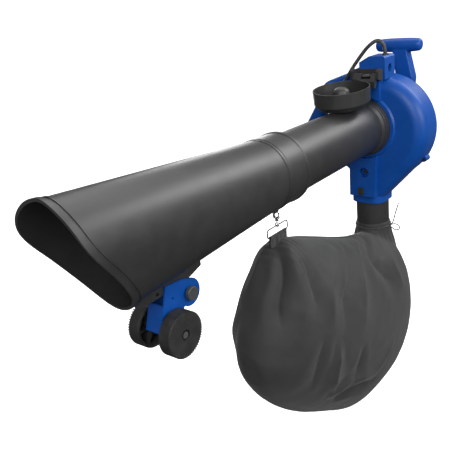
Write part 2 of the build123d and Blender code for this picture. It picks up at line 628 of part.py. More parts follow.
def intake_cover():
    base_z = CUP_RIM_Z - CUP_H
    shape = [(0, 0), (CUP_R - CUP_CHAMFER, 0), (CUP_R - 1, CUP_CHAMFER), (CUP_R, CUP_H), (CUP_R - CUP_WALL, CUP_H),
             (CUP_R - CUP_WALL - 1, CUP_CHAMFER + 1), (CUP_R - CUP_CHAMFER - 1, CUP_WALL), (0, CUP_WALL)]
    cup = revolve(make_face(Polyline(*[(r, 0, z) for r, z in shape], close=True)), Axis.Z)
    hub = Pos(0, 0, CUP_WALL - 0.1) * (Cylinder(11, 20, align=(Align.CENTER, Align.CENTER, Align.MIN)))
    hub = fillet(hub.edges().group_by(Axis.Z)[-1], 7)
    cup += hub
    cup += [Rot(0, 0, 45 * i) * block(10, CUP_R - CUP_CHAMFER + 4, -1, 1, CUP_WALL - 0.1, 9) for i in range(8)]
    cup = Pos(CUP_X, CUP_Y, base_z) * cup
    arm_y0 = BRACKET[2] + CHEEK_T + GAP
    arm_y1 = BRACKET[3] - CHEEK_T - GAP
    arm = side_plate([(-36, CUP_RIM_Z - 16), (-36, CUP_RIM_Z - 2), (HINGE_X - 4, HINGE_Z + 5), (HINGE_X + 4, HINGE_Z + 5),
                      (HINGE_X + 4, HINGE_Z - 5), (-31.5, CUP_RIM_Z - 16)], arm_y0, arm_y1)
    arm -= Pos(CUP_X, CUP_Y, base_z) * Pos(0, 0, CUP_H / 2 + 10) * Cylinder(CUP_R - 1, CUP_H + 40)
    arm -= block(HINGE_X - 9, HINGE_X + 10, CUP_Y - 36, CUP_Y - 14, HINGE_Z - 6, HINGE_Z + 12)
    cover = cup + arm
    cover -= rod_y(HINGE_X, HINGE_Z, HINGE_PIN_R + RUN, -80, 60)
    return cover_place() * cover


def cover_bracket():
    x0, x1, y0, y1, z0, z1 = BRACKET
    cheek = [(x0 + 1, z1 - 3), (x0 + 3, z1), (x1, z1), (x1, z0), (x1 - 6, z0), (x0 + 1, HINGE_Z - 6)]
    body = side_plate(cheek, y0, y0 + CHEEK_T) + side_plate(cheek, y1 - CHEEK_T, y1)
    body += block(x1 - 3, x1, y0, y1, z0, z1)
    return body - rod_y(HINGE_X, HINGE_Z, HINGE_PIN_R, -80, 60)


def cover_hinge_pin():
    return rod_y(HINGE_X, HINGE_Z, HINGE_PIN_R, BRACKET[2], BRACKET[3])


def cover_spring():
    return spring(HINGE_X, CUP_Y - 34, HINGE_Z, (0, 1, 0), 3.8, 0.8, 17, 8)


# ---- mains cord ----
def cord_path():
    """Straight runs joined by arcs as large as the two runs allow."""
    points = [Vector(*p) for p in CORD]
    radii = []
    for before, here, after in zip(points, points[1:], points[2:]):
        shorter = min((here - before).length, (after - here).length)
        turn = (here - before).get_angle(after - here)
        radii.append(0.45 * shorter / tan(radians(turn) / 2))
    print("cord arc radii", [round(r, 1) for r in radii])
    return FilletPolyline(points, radius=radii)


def mains_cord():
    path = cord_path()
    cord = wire_along(path, CORD_R)
    print("cord length", round(path.length, 1), "volume share", round(cord.volume / (pi * CORD_R ** 2 * path.length), 4))
    return cord


def cord_gland():
    x, y, z = CORD[0]
    top = BOX[5]
    gland = rod_z(x, y, CORD_R + 2, top - HANDLE_WALL - 2, z) + rod_z(x, y, CORD_R + 3.5, top, top + 1.5)
    return gland - rod_z(x, y, CORD_R, z, z + 5)


def plug_place():
    end = Vector(*CORD[-1])
    return Plane(origin=end, z_dir=end - Vector(*CORD[-2]), x_dir=(1, 0, 0))


def plug_body():
    neck = Cone(CORD_R + 0.5, CORD_R + 2, 12, align=(Align.CENTER, Align.CENTER, Align.MIN))
    body = Pos(0, 0, 11) * extrude(RectangleRounded(18, 24, 7), 24)
    body = fillet(body.edges().group_by(Axis.Z)[-1], 1.5)
    return plug_place() * (neck + body)


def plug_blades():
    blades = [Pos(0, s * 6.35, 35) * Box(6.3, 1.5, 17, align=(Align.CENTER, Align.CENTER, Align.MIN)) for s in (-1, 1)]
    return Compound([(plug_place() * b).solid() for b in blades])


# ---- bag and its hardware ----
def bag_solid(shrink):
    """Pillow-shaped bag, from upright sections (x, top, bottom, half thickness)."""
    sections = []
    for i, (x, top, bottom, half) in enumerate(BAG):
        if i == 0:
            x += shrink
        if i == len(BAG) - 1:
            x -= shrink
        plane = Plane(origin=(x, 0, (top + bottom) / 2), x_dir=(0, 1, 0), z_dir=(1, 0, 0))
        sections.append(plane * Ellipse(half - shrink, (top - bottom) / 2 - shrink))
    return loft(sections)


def bag():
    bag = bag_solid(0) - bag_solid(BAG_WALL)
    inner_r = PIPE_R + GAP
    deep = SLEEVE_TOP_Z - 60
    sleeve = rod_z(OUTLET_X, OUTLET_Y, inner_r + SLEEVE_T, deep, SLEEVE_TOP_Z) - bag_solid(BAG_WALL / 2)
    bag += sleeve
    bag -= rod_z(OUTLET_X, OUTLET_Y, inner_r, deep, SLEEVE_TOP_Z + 1)
    solids = sorted(bag.solids(), key=lambda s: s.volume)
    return solids[-1]


def neck_drawstring():
    """Cord tied round the bag's neck, with its knot, one loop and one loose end."""
    r = PIPE_R + GAP + SLEEVE_T + STRING_R + 0.2
    y0 = OUTLET_Y - r - STRING_R
    x = OUTLET_X
    z = STRING_Z
    tail = FilletPolyline([(x, y0, z), (x, y0 - 8, z + 8), (x, y0 - 12, z + 30), (x, y0 - 24, z + 60)], radius=[10, 40])
    loop = FilletPolyline([(x, y0, z), (x, y0 - 12, z + 5), (x, y0 - 24, z - 2), (x, y0 - 20, z - 10),
                           (x, y0 - 7, z - 7)], radius=[6, 5, 4])
    ring = Pos(x, OUTLET_Y, z) * Torus(r, STRING_R)
    return ring + Pos(x, y0 - 1, z) * Sphere(2.4) + wire_along(tail, STRING_R) + wire_along(loop, STRING_R)


def snap_hook():
    top = CLIP_Z
    c = top - BOW_R
    bow = Line((CLIP_X, BOW_R, top - 14), (CLIP_X, BOW_R, c)) + ThreePointArc((CLIP_X, BOW_R, c), (CLIP_X, 0, top), (CLIP_X, -BOW_R, c))
    path = Wire(bow.edges())
    start = Plane(origin=(CLIP_X, BOW_R, top - 14), z_dir=(0, 0, 1))
    hook = sweep(start * Circle(BOW_WIRE_R), path=path)
    yoke = end_plate([(BOW_R + 1.5, top - 13), (BOW_R + 1.5, top - 16), (2.6, top - 19), (-2.6, top - 19),
                      (-BOW_R - 1.5, top - 17), (-BOW_R - 1.5, top - 16), (0, top - 17), (BOW_R - 1.5, top - 13)],
                     CLIP_X - 2, CLIP_X + 2)
    barrel = rod_z(CLIP_X, 0, 3, top - 23.5, top - 18)
    return hook + yoke + barrel


def snap_gate():
    top = CLIP_Z - BOW_R - GAP
    return rod_z(CLIP_X, -BOW_R, BOW_WIRE_R - 0.2, CLIP_Z - 15.6, top)


def swivel_eye():
    top = CLIP_Z - 23.5
    eye = Pos(CLIP_X, 0, top - 5.5) * Rot(0, 90, 0) * Torus(3.6, 1.2)
    return eye + rod_z(CLIP_X, 0, 1.4, top - 1.5, top)


def ring_centre_z():
    bar_z = CLIP_Z - 23.5 - 5.5 - (3.6 - 1.2 - RING_WIRE_R - GAP)
    return bar_z - RING_H / 2


def wire_ring():
    z = ring_centre_z()
    x0 = CLIP_X - RING_L / 2
    x1 = CLIP_X + RING_L / 2
    z0 = z - RING_H / 2
    z1 = z + RING_H / 2
    path = FilletPolyline([(x0, 0, z0), (x0, 0, z1), (x1, 0, z1), (x1, 0, z0)], radius=5, close=True)
    return sweep(Plane(origin=path @ 0, z_dir=path % 0) * Circle(RING_WIRE_R), path=path)


def hang_tab():
    """Webbing folded round the ring's lower bar and sewn to the bag."""
    z = ring_centre_z() - RING_H / 2
    inner = RING_WIRE_R + 0.1
    loop = rod_x(0, z, inner + TAB_T, CLIP_X - TAB_W / 2, CLIP_X + TAB_W / 2)
    tail = block(CLIP_X - TAB_W / 2, CLIP_X + TAB_W / 2, -TAB_T, TAB_T, z - 17, z)
    return (loop + tail) - rod_x(0, z, inner, CLIP_X - TAB_W, CLIP_X + TAB_W) - bag_solid(0)


def save(name, shape):
    """Writes one sub-part, moved so that the origin is the middle of the assist grip."""
    shape = Pos(-GRIP_CENTRE.X, -GRIP_CENTRE.Y, -GRIP_CENTRE.Z) * shape
    solids = shape.solids()
    export_step(Compound(solids) if len(solids) > 1 else solids[0], os.path.join("parts", name + ".step"))


def main():
    os.makedirs("parts", exist_ok=True)
    shell = fan_shell()
    handle_front, handle_rear = handle_halves()
    parts = {
        "lower_tube": lower_tube(), "upper_tube": upper_tube(), "intake_gasket": intake_gasket(),
        "keel_rail": keel_rail(), "wheel_yoke": wheel_yoke(), "pivot_pin": pivot_pin(),
        "yoke_lock_button": yoke_lock_button(), "lock_button_spring": lock_button_spring(),
        "axle": axle(), "axle_caps": axle_caps(), "wheel_left": wheel(-1), "wheel_right": wheel(1),
        "front_shell": front_shell(shell), "rear_shell": rear_shell(shell), "outlet_pipe": outlet_pipe(),
        "outlet_latch": outlet_latch(), "latch_spring": latch_spring(), "recess_screw": recess_screw(),
        "seam_screws": seam_screws(), "back_plate": back_plate(), "front_bearing": front_bearing(),
        "rear_bearing": rear_bearing(), "motor_cover": motor_cover(), "cover_screws": cover_screws(),
        "stator": stator(), "armature": armature(), "commutator": commutator(),
        "brush_holders": brush_holders(), "brushes": brushes(), "rotor_shaft": rotor_shaft(),
        "cooling_fan": cooling_fan(), "impeller": impeller(), "impeller_nut": impeller_nut(),
        "handle_front_half": handle_front, "handle_rear_half": handle_rear, "trigger": trigger(),
        "trigger_spring": trigger_spring(), "switch_body": switch_body(), "lock_on_button": lock_on_button(),
        "lock_on_spring": lock_on_spring(), "speed_dial": speed_dial(), "assist_handle": assist_handle(),
        "intake_cover": intake_cover(), "cover_bracket": cover_bracket(), "cover_hinge_pin": cover_hinge_pin(),
        "cover_spring": cover_spring(), "mains_cord": mains_cord(), "cord_gland": cord_gland(),
        "plug_body": plug_body(), "plug_blades": plug_blades(), "bag": bag(),
        "neck_drawstring": neck_drawstring(), "snap_hook": snap_hook(),
        "snap_gate": snap_gate(), "swivel_eye": swivel_eye(), "wire_ring": wire_ring(), "hang_tab": hang_tab(),
    }
    for name, shape in parts.items():
        save(name, shape)


main()
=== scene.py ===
import math

import bmesh
import bpy
import numpy as np
from mathutils import Matrix, Vector


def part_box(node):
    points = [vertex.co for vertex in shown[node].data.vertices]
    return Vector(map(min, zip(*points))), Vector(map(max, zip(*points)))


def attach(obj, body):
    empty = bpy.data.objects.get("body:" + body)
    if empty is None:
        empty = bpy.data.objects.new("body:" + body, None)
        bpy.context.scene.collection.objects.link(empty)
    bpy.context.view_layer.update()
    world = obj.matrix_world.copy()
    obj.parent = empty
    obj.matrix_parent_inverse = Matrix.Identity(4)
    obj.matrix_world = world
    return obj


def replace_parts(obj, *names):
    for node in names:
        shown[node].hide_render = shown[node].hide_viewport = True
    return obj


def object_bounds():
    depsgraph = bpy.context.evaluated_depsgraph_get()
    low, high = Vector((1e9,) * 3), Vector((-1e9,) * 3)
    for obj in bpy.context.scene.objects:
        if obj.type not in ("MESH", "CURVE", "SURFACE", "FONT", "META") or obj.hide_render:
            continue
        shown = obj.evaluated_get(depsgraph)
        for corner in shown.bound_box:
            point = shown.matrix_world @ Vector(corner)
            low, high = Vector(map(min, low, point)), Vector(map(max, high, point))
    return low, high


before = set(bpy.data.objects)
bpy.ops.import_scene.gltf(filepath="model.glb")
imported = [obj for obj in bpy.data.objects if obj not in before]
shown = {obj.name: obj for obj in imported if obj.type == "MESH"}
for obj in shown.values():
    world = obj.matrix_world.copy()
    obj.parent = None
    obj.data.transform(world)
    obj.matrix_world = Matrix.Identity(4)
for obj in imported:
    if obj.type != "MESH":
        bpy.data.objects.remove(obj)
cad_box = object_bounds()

# The machine is looked at from the mouth side and from 20 degrees above, with the camera rolled a few degrees.
azimuth, height, roll = math.radians(-49.21), math.radians(20.28), math.radians(-6.36)
back = Vector((math.sin(azimuth) * math.cos(height), -math.cos(azimuth) * math.cos(height), math.sin(height)))
level = (-back).cross(Vector((0, 0, 1))).normalized()
upright = level.cross(-back)
across = level * math.cos(roll) + upright * math.sin(roll)
above = upright * math.cos(roll) - level * math.sin(roll)
camera = bpy.data.objects.new("camera", bpy.data.cameras.new("camera"))
camera.data.lens = 50.62
camera.data.sensor_width = 36
turn = Matrix((across, above, back)).transposed().to_4x4()
camera.matrix_world = Matrix.Translation((-1.37895, -0.62078, 0.15554)) @ turn
bpy.context.scene.collection.objects.link(camera)
bpy.context.scene.camera = camera


# The mains lead is a short pigtail of round rubber-sheathed flex. It leaves the top of the handle through a gland,
# bends over in the air and comes down behind the tube, where a moulded plug ends it.
class Reading:
    """A number that changes over a surface. Sums written on it become Math nodes."""

    def __init__(self, finish, socket):
        self.finish, self.socket = finish, socket

    def sum(self, operation, first, second=0.0):
        return self.finish.node("Math", 0, {"operation": operation}, {0: first, 1: second})

    def __add__(self, other): return self.sum("ADD", self, other)
    def __radd__(self, other): return self.sum("ADD", other, self)
    def __sub__(self, other): return self.sum("SUBTRACT", self, other)
    def __rsub__(self, other): return self.sum("SUBTRACT", other, self)
    def __mul__(self, other): return self.sum("MULTIPLY", self, other)
    def sine(self): return self.sum("SINE", self)

    def output(self, name):
        """Another output of the same node."""
        return Reading(self.finish, self.socket.node.outputs[name])

    def between(self, low, high):
        """0 below low, 1 above high, and smooth from one to the other."""
        return self.finish.node("MapRange", 0, {"interpolation_type": "SMOOTHSTEP"}, {0: self, 1: low, 2: high})


class Finish:
    """One surface finish: a principled shader with the nodes that vary it."""

    def __init__(self, name, **uniform):
        self.material = bpy.data.materials.new(name)
        self.material.use_nodes = True
        self.tree = self.material.node_tree
        self.shader = self.tree.nodes["Principled BSDF"]
        for socket, value in uniform.items():
            self.shader.inputs[socket.replace("_", " ")].default_value = value
        self.place = self.node("TexCoord", "Object")

    def feed(self, socket, value):
        if isinstance(value, Reading):
            self.tree.links.new(value.socket, socket)
        elif hasattr(socket.default_value, "__len__") and len(socket.default_value) == 4 and len(value) == 3:
            socket.default_value = (*value, 1)
        else:
            socket.default_value = value

    def node(self, kind, output, settings={}, sockets={}):
        made = self.tree.nodes.new("ShaderNode" + kind)
        for name, value in settings.items():
            setattr(made, name, value)
        for name, value in sockets.items():
            self.feed(made.inputs[name], value)
        return Reading(self, made.outputs[output])

    def stretched(self, x, y, z):
        return self.node("Mapping", 0, {}, {0: self.place, 3: (x, y, z)})

    def noise(self, scale, detail=2.0, rough=0.5, place=None):
        return self.node("TexNoise", "Fac", {}, {"Vector": place or self.place, "Scale": scale, "Detail": detail,
                                                 "Roughness": rough})

    def mix(self, mask, low, high):
        return self.node("Mix", 2, {"data_type": "RGBA"}, {0: mask, 6: low, 7: high})

    def bump(self, height, depth, strength=1.0):
        return self.node("Bump", 0, {}, {"Height": height, "Distance": depth, "Strength": strength})

    def wear(self, colour=None, rough=None, relief=None):
        """What the finish shows: its colour, its roughness and its relief."""
        for socket, value in (("Base Color", colour), ("Roughness", rough), ("Normal", relief)):
            if value is not None:
                self.feed(self.shader.inputs[socket], value)
        return self.material


def moulded(name, colour, gloss, grain, mottle=0.16, **uniform):
    """Injection-moulded plastic: a fine mould grain, faint flow marks, and a few rubbed and dusty places."""
    f = Finish(name, **uniform)
    pits = f.noise(grain, 2.0, 0.6)
    flow = f.noise(9.0, 4.0, 0.55, f.stretched(0.35, 1.0, 1.0))
    patches = f.noise(38.0, 5.0, 0.6)
    rubbed = f.noise(210.0, 3.0, 0.7, f.stretched(0.12, 1.0, 1.0)).between(0.63, 0.74)
    dark = tuple(c * (1 - mottle) for c in colour)
    light = tuple(min(1.0, c * (1 + mottle) + 0.004) for c in colour)
    shade = f.mix(flow.between(0.3, 0.7) * 0.6 + patches.between(0.35, 0.7) * 0.4, dark, light)
    shade = f.mix(rubbed * 0.18, shade, tuple(min(1.0, c * 1.5 + 0.03) for c in colour))
    rough = gloss + (patches - 0.5) * 0.16 + (pits - 0.5) * 0.10 + rubbed * 0.07
    return f.wear(shade, rough, f.bump(pits * 0.8 + rubbed * 0.4, 0.00022, 0.55))


def metal(name, colour, gloss, lay, **uniform):
    """Bare or plated metal with its drawing or turning marks along one direction."""
    f = Finish(name, Metallic=1.0, **uniform)
    marks = f.noise(900.0, 3.0, 0.6, f.stretched(*lay))
    stain = f.noise(60.0, 4.0, 0.6).between(0.45, 0.75)
    shade = f.mix(stain * 0.5, colour, tuple(c * 0.62 for c in colour))
    return f.wear(shade, gloss + (marks - 0.5) * 0.18 + stain * 0.14, f.bump(marks, 0.00008, 0.4))


def wear(material, *nodes):
    """Gives CAD nodes their finish."""
    for node in nodes:
        slots = shown[node].data.materials
        slots.clear()
        slots.append(material)


def piece(name, mesh, body, material, smooth=""):
    """A made mesh as an object that rides on a body, with its finish. Its faces are shaded smooth if smooth is
    "all", and only those with four sides if it is "sides"."""
    made = bpy.data.objects.new(name, mesh)
    bpy.context.scene.collection.objects.link(made)
    mesh.materials.clear()
    mesh.materials.append(material)
    for face in mesh.polygons:
        face.material_index = 0
        if smooth:
            face.use_smooth = smooth == "all" or len(face.vertices) == 4
    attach(made, body)
    return made


def round_line(name, points, radius, kind="NURBS", cyclic=False, steps=10, sides=3):
    """A curve object with a round section that follows the points."""
    line = bpy.data.curves.new(name, "CURVE")
    line.dimensions = "3D"
    spline = line.splines.new(kind)
    spline.points.add(len(points) - 1)
    for point, place in zip(spline.points, points):
        point.co = (*place, 1)
    if kind == "NURBS":
        spline.order_u = 3
        spline.use_cyclic_u = cyclic
        spline.use_endpoint_u = not cyclic
    spline.resolution_u = steps
    line.bevel_depth = radius
    line.bevel_resolution = sides
    line.use_fill_caps = True
    made = bpy.data.objects.new(name, line)
    bpy.context.scene.collection.objects.link(made)
    return made


flex = Finish("flex_rubber", Specular_IOR_Level=0.4)
flex_grain = flex.noise(1600.0, 2.0)
flex_dust = flex.noise(70.0, 5.0, 0.6)
flex_rubber = flex.wear(flex.mix(flex_dust.between(0.35, 0.7), (0.018, 0.018, 0.019), (0.045, 0.046, 0.047)),
                        0.44 + (flex_dust - 0.5) * 0.2, flex.bump(flex_grain, 0.0002, 0.4))
lead_way = [(-0.096, -0.012, -0.005), (-0.096, -0.012, 0.011), (-0.099, 0.002, 0.025), (-0.106, 0.021, 0.013),
            (-0.113, 0.039, -0.010), (-0.120, 0.055, -0.034), (-0.124, 0.070, -0.059), (-0.127, 0.084, -0.087),
            (-0.129, 0.095, -0.118), (-0.130, 0.101, -0.152), (-0.130, 0.102, -0.184)]
lead = round_line("mains_lead", lead_way, 0.004, steps=16, sides=6)
lead.data.materials.append(flex_rubber)
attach(lead, "machine")
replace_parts(lead, "mains_cord")
wear(flex_rubber, "plug_body", "cord_gland")
wear(metal("drawn_brass", (0.62, 0.45, 0.16), 0.28, (1, 1, 0.08)), "plug_blades")

# The suction tube is two long black mouldings. The lower one flares to an egg-shaped mouth with a rolled rim,
# and slides over the upper one in a beaded socket. The skin is a satin black with a fine mould grain.
tube_black = moulded("tube_black", (0.020, 0.020, 0.0205), 0.40, 1500.0, mottle=0.10, Specular_IOR_Level=0.55)
wear(tube_black, "lower_tube", "upper_tube", "keel_rail")
wear(flex_rubber, "intake_gasket")

# The fan housing, the two handles and the wheel yoke are moulded in one cobalt blue. Screws hold the halves.
housing_blue = moulded("cobalt_blue", (0.0008, 0.056, 0.285), 0.40, 1300.0, mottle=0.08, Specular_IOR_Level=0.28)
wear(housing_blue, "front_shell", "rear_shell", "handle_front_half", "handle_rear_half", "assist_handle",
     "wheel_yoke", "motor_cover")

# Black acetal and nylon small parts: the flip-up intake cover with its bracket, the outlet pipe, the controls.
fitting_black = moulded("fitting_black", (0.017, 0.0185, 0.017), 0.47, 1200.0, mottle=0.14)
wear(fitting_black, "intake_cover", "cover_bracket", "outlet_pipe", "outlet_latch", "trigger", "lock_on_button",
     "speed_dial", "switch_body", "back_plate", "brush_holders", "cooling_fan", "impeller")
button_grey = moulded("button_grey", (0.048, 0.050, 0.050), 0.40, 1500.0)
wear(button_grey, "yoke_lock_button")

# Screws, pins, springs and shafts are zinc-plated or bright steel.
bright_steel = metal("bright_steel", (0.62, 0.63, 0.65), 0.25, (0.2, 1, 1))
# The recess screw, the seam and cover screws, the hinge pin and the cover spring get a dark copy of the same steel:
# painted shade for the recesses and the cover they sit in.
recess_shade_steel = metal("steel_painted_shade", (0.10, 0.10, 0.105), 0.42, (0.2, 1, 1))
wear(bright_steel, "pivot_pin", "axle", "axle_caps", "lock_button_spring", "latch_spring", "front_bearing",
     "rear_bearing", "rotor_shaft", "impeller_nut", "trigger_spring", "lock_on_spring")
wear(recess_shade_steel, "recess_screw", "seam_screws", "cover_screws", "cover_hinge_pin", "cover_spring")

# The motor inside is a universal one: laminated stator and armature, copper commutator, carbon brushes.
laminated = Finish("laminated_steel", Metallic=0.9)
stacks = (laminated.node("SeparateXYZ", 0, {}, {0: laminated.place}) * 6300.0).sine() * 0.5 + 0.5
wear(laminated.wear(laminated.mix(stacks, (0.20, 0.20, 0.21), (0.42, 0.42, 0.43)), 0.38 + stacks * 0.15,
                    laminated.bump(stacks, 0.0001, 0.5)), "stator", "armature")
wear(metal("commutator_copper", (0.80, 0.36, 0.20), 0.26, (0.1, 1, 1)), "commutator")
wear(moulded("brush_carbon", (0.035, 0.035, 0.036), 0.62, 2500.0), "brushes")

# The snap hook is a die-cast swivel hook, nickel plated. The loop under it is bent wire with a black lacquer.
nickel = metal("nickel_plate", (0.70, 0.69, 0.66), 0.20, (1, 1, 0.25))
wear(nickel, "snap_hook", "snap_gate", "swivel_eye")
lacquer = Finish("black_lacquer", Coat_Weight=0.3, Coat_Roughness=0.2)
chips = lacquer.noise(520.0, 3.0, 0.6).between(0.66, 0.72)
wear(lacquer.wear(lacquer.mix(chips, (0.012, 0.012, 0.012), (0.25, 0.25, 0.25)), 0.26 + chips * 0.2,
                  lacquer.bump(1 - chips, 0.00008, 0.5)), "wire_ring")

# The hook's own casting is fuller than a bent wire: a round bow, a waisted shoulder and a barrel that holds the eye.
def round_angles(count):
    """The angles of that many points round a circle."""
    return np.linspace(0, 2 * math.pi, count + 1)[:-1]


def skin_over(rings, made=None, outward=True):
    """A closed skin over rings of points of equal count, alone or added to a working mesh."""
    if made is None:
        made = bmesh.new()
    rows = [[made.verts.new(p) for p in ring] for ring in rings]
    for a, b in zip(rows, rows[1:]):
        for i in range(len(a)):
            j = (i + 1) % len(a)
            made.faces.new((a[i], a[j], b[j], b[i]))
    made.faces.new(rows[0])
    made.faces.new(rows[-1])
    if outward:
        bmesh.ops.recalc_face_normals(made, faces=made.faces)
    return made


def named_mesh(name, made):
    mesh = bpy.data.meshes.new(name)
    made.to_mesh(mesh)
    return mesh


hook_low, hook_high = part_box("snap_hook")
hook_top = Vector(((hook_low.x + hook_high.x) / 2, (hook_low.y + hook_high.y) / 2, hook_high.z))
bow_r, bow_z = 0.0055, -0.0070
bow_way = [(bow_r, -0.0165), (bow_r, -0.0115), (bow_r, bow_z)]
bow_way += [(bow_r * math.cos(a), bow_z + bow_r * math.sin(a)) for a in np.linspace(0.3, math.pi - 0.3, 7)]
bow_way += [(-bow_r, bow_z), (-bow_r, -0.0086)]
rings = []
for i, (y, z) in enumerate(bow_way):
    ahead = bow_way[min(i + 1, len(bow_way) - 1)]
    behind = bow_way[max(i - 1, 0)]
    run = Vector((0, ahead[0] - behind[0], ahead[1] - behind[1])).normalized()
    out = run.cross(Vector((1, 0, 0)))
    thick = 0.0020 + 0.0006 * (i < 3)
    rings.append([hook_top + Vector((thick * math.cos(a), y, z)) + out * thick * math.sin(a) for a in round_angles(16)])
casting = skin_over(rings)
# radius and height of the shoulder and the barrel, from the top down; they are flatter along the tube
SHOULDER = [(0.0002, -0.0145), (0.0062, -0.0150), (0.0072, -0.0160), (0.0068, -0.0172), (0.0040, -0.0188),
            (0.0034, -0.0196), (0.0040, -0.0204), (0.0040, -0.0226), (0.0034, -0.0234), (0.0002, -0.0235)]
skin_over([[hook_top + Vector((r * 0.62 * math.cos(a), r * math.sin(a), z)) for a in round_angles(24)]
           for r, z in SHOULDER], casting)
hook_casting = piece("hook_casting", named_mesh("hook_casting", casting), "machine", nickel, "sides")
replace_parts(hook_casting, "snap_hook")

# The assist handle is one hollow moulding. Its bar swells a little in the middle, its ends are domed, and the
# stem runs into it with soft corners.
def merged_copy(node, name):
    """A closed copy of a CAD node's mesh, its loose triangles joined."""
    loose = bmesh.new()
    loose.from_mesh(shown[node].data)
    bmesh.ops.remove_doubles(loose, verts=loose.verts, dist=0.00002)
    return named_mesh(name, loose)


def read_points(mesh):
    """Each point's place, and the way it faces."""
    at = np.zeros(len(mesh.vertices) * 3)
    mesh.vertices.foreach_get("co", at)
    facing = np.zeros(len(mesh.vertices) * 3)
    mesh.vertex_normals.foreach_get("vector", facing)
    return at.reshape(-1, 3), facing.reshape(-1, 3)


def write_points(mesh, at):
    mesh.vertices.foreach_set("co", at.ravel())
    mesh.update()


def remeshed(holder, voxel, rounds):
    """An object's mesh rebuilt as one even skin, then eased that many times."""
    cut = holder.modifiers.new("cut", "REMESH")
    cut.mode = "VOXEL"
    cut.voxel_size = voxel
    ease = holder.modifiers.new("ease", "SMOOTH")
    ease.factor = 0.5
    ease.iterations = rounds
    mesh = bpy.data.meshes.new_from_object(holder.evaluated_get(bpy.context.evaluated_depsgraph_get()))
    holder.modifiers.clear()
    return mesh


bar_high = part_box("assist_handle")[1]
rough_bar = bpy.data.objects.new("assist_handle_soft", merged_copy("assist_handle", "assist_handle_soft"))
bpy.context.scene.collection.objects.link(rough_bar)
bar_mesh = remeshed(rough_bar, 0.0011, 14)
bpy.data.objects.remove(rough_bar)
bar_at, _ = read_points(bar_mesh)
grip = bar_at[:, 2] > bar_high.z - 0.034
taper = np.where(grip, 1 - 0.16 * np.clip(np.abs(bar_at[:, 1]) / bar_high.y, 0, 1) ** 3, 1)
bar_at[:, 0] *= taper
bar_at[:, 2] *= taper
write_points(bar_mesh, bar_at)
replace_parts(piece("assist_handle_soft", bar_mesh, "machine", housing_blue, "all"), "assist_handle")

# Inside the cover a domed hub stands on the spokes that stiffen it, and leans five degrees as the cover does.
HUB = [(0.0175, -0.012), (0.0175, 0.004), (0.0168, 0.0085), (0.0150, 0.0120), (0.0120, 0.0148), (0.0080, 0.0168),
       (0.0040, 0.0178), (0.0003, 0.0180)]
hub_at = Vector((-0.2105, 0.032, -0.074))
lean = math.sin(math.radians(-5))
hub = skin_over([[hub_at + Vector((r * math.cos(a) - z * lean, r * math.sin(a), z + r * math.cos(a) * lean))
                  for a in round_angles(48)] for r, z in HUB])
piece("cover_hub", named_mesh("cover_hub", hub), "cover", fitting_black, "sides")

# Two solid wheels roll the mouth over the ground. Each is a nylon moulding with a stippled face and 56
# small grips round the tread, and turns on a steel axle with a pressed cap.
wheel_black = Finish("wheel_black", Specular_IOR_Level=0.45)
stipple = wheel_black.noise(1900.0, 3.0, 0.7)
soil = wheel_black.noise(55.0, 6.0, 0.65)
wheel_skin = wheel_black.wear(
    wheel_black.mix(soil.between(0.4, 0.75) * 0.6 + stipple.between(0.5, 0.8) * 0.4, (0.014, 0.014, 0.014),
                    (0.042, 0.042, 0.041)),
    0.50 + (soil - 0.5) * 0.2 + (stipple - 0.5) * 0.15, wheel_black.bump(stipple, 0.0005, 0.8))
wear(wheel_skin, "wheel_left", "wheel_right")


def node_tree(name, **inputs):
    """A geometry node tree with a geometry input, its named number inputs and a material input."""
    tree = bpy.data.node_groups.new(name, "GeometryNodeTree")
    tree.interface.new_socket("Geometry", in_out="INPUT", socket_type="NodeSocketGeometry")
    for label, kind in inputs.items():
        tree.interface.new_socket(label, in_out="INPUT", socket_type="NodeSocket" + kind)
    tree.interface.new_socket("Geometry", in_out="OUTPUT", socket_type="NodeSocketGeometry")
    return tree, tree.nodes.new("NodeGroupInput"), tree.nodes.new("NodeGroupOutput")


def add(tree, kind, sockets={}, **settings):
    """Adds one geometry node and feeds its sockets."""
    made = tree.nodes.new(kind)
    for name, value in settings.items():
        setattr(made, name, value)
    for name, value in sockets.items():
        if isinstance(value, bpy.types.NodeSocket):
            tree.links.new(value, made.inputs[name])
        else:
            made.inputs[name].default_value = value
    return made


def grown(name, tree, start, **values):
    """Runs a tree on a start mesh or curve and gives the result as a plain mesh."""
    holder = bpy.data.objects.new(name, start)
    bpy.context.scene.collection.objects.link(holder)
    modifier = holder.modifiers.new("grow", "NODES")
    modifier.node_group = tree
    for item in tree.interface.items_tree:
        if item.in_out == "INPUT" and item.name in values:
            modifier[item.identifier] = values[item.name]
    evaluated = holder.evaluated_get(bpy.context.evaluated_depsgraph_get())
    mesh = bpy.data.meshes.new_from_object(evaluated)
    holder.modifiers.clear()
    bpy.data.objects.remove(holder)
    return mesh


grip_tree, given, result = node_tree("tread_grips", Count="Int", Radius="Float", Width="Float", Skin="Material")
ring = add(grip_tree, "GeometryNodeMeshCircle", {"Vertices": given.outputs["Count"], "Radius": given.outputs["Radius"]})
stood = add(grip_tree, "GeometryNodeTransform", {"Geometry": ring.outputs["Mesh"], "Rotation": (math.pi / 2, 0, 0)})
bar_size = add(grip_tree, "ShaderNodeCombineXYZ", {"X": 0.0019, "Y": given.outputs["Width"], "Z": 0.0022})
bar = add(grip_tree, "GeometryNodeMeshCube", {"Size": bar_size.outputs[0], "Vertices X": 3, "Vertices Y": 9,
                                              "Vertices Z": 3})
where = add(grip_tree, "GeometryNodeInputPosition")
facing = add(grip_tree, "FunctionNodeAlignRotationToVector", {"Vector": where.outputs[0]}, axis="Z", pivot_axis="Y")
bars = add(grip_tree, "GeometryNodeInstanceOnPoints", {"Points": stood.outputs[0], "Instance": bar.outputs["Mesh"],
                                                       "Rotation": facing.outputs[0]})
solid = add(grip_tree, "GeometryNodeRealizeInstances", {"Geometry": bars.outputs[0]})
